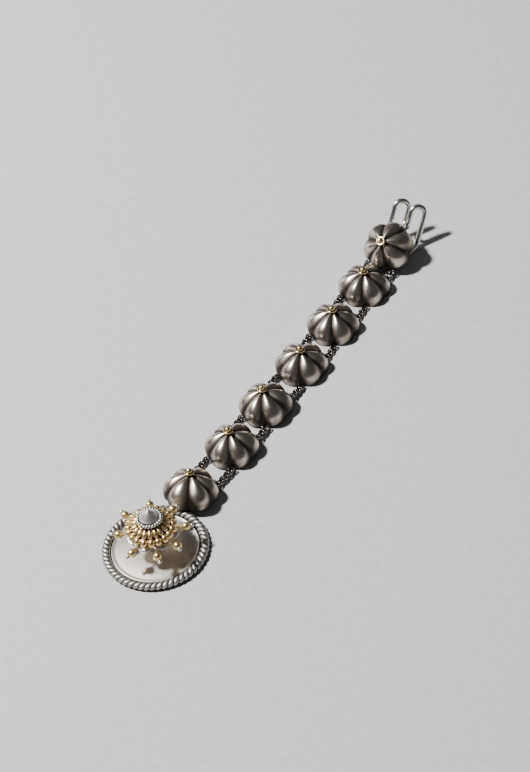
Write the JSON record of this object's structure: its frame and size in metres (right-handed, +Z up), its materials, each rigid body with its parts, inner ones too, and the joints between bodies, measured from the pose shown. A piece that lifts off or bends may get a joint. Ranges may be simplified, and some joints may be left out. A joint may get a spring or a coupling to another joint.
{
  "type": "maang tikka",
  "caption": "Forehead jewel: round rope-edged pendant with a grained tower, a row of fluted domes with ball finials, double chains and a double wire hair hook.",
  "frame": {"origin": "centre of the overall box at the height of the surface the jewel lies on", "axes": "+Y along the row from the pendant to the hook, +Z up through the pendant's tower, +X to the right"},
  "size_m": [0.029, 0.1547, 0.0165],
  "materials": {
    "oxidised_silver": "satin silver, warm grey and darker in the grooves",
    "bright_silver": "polished silver",
    "gilt_grain": "gilt, worn satin",
    "dark_chain": "blackened silver chain"
  },
  "bodies": {
    "root": {"pendant_disc": "oxidised_silver", "petal_post": "bright_silver", "grain_skirt": "gilt_grain", "grain_crown": "gilt_grain", "rope_collar": "bright_silver", "cone_cap": "bright_silver", "ball_pin_1": "gilt_grain", "ball_pin_2": "gilt_grain", "ball_pin_3": "gilt_grain", "ball_pin_4": "gilt_grain", "ball_pin_5": "gilt_grain", "ball_pin_6": "gilt_grain", "ball_pin_7": "gilt_grain", "ball_pin_8": "gilt_grain", "fluted_dome_1": "oxidised_silver", "fluted_dome_2": "oxidised_silver", "fluted_dome_3": "oxidised_silver", "fluted_dome_4": "oxidised_silver", "fluted_dome_5": "oxidised_silver", "fluted_dome_6": "oxidised_silver", "fluted_dome_7": "oxidised_silver", "gold_finial_1": "gilt_grain", "gold_finial_2": "gilt_grain", "gold_finial_3": "gilt_grain", "gold_finial_4": "gilt_grain", "gold_finial_5": "gilt_grain", "gold_finial_6": "gilt_grain", "gold_finial_7": "gilt_grain", "chain_left_1": "dark_chain", "chain_left_2": "dark_chain", "chain_left_3": "dark_chain", "chain_left_4": "dark_chain", "chain_left_5": "dark_chain", "chain_left_6": "dark_chain", "chain_left_7": "dark_chain", "chain_right_1": "dark_chain", "chain_right_2": "dark_chain", "chain_right_3": "dark_chain", "chain_right_4": "dark_chain", "chain_right_5": "dark_chain", "chain_right_6": "dark_chain", "chain_right_7": "dark_chain", "hair_hook": "bright_silver"}
  },
  "joints": []
}
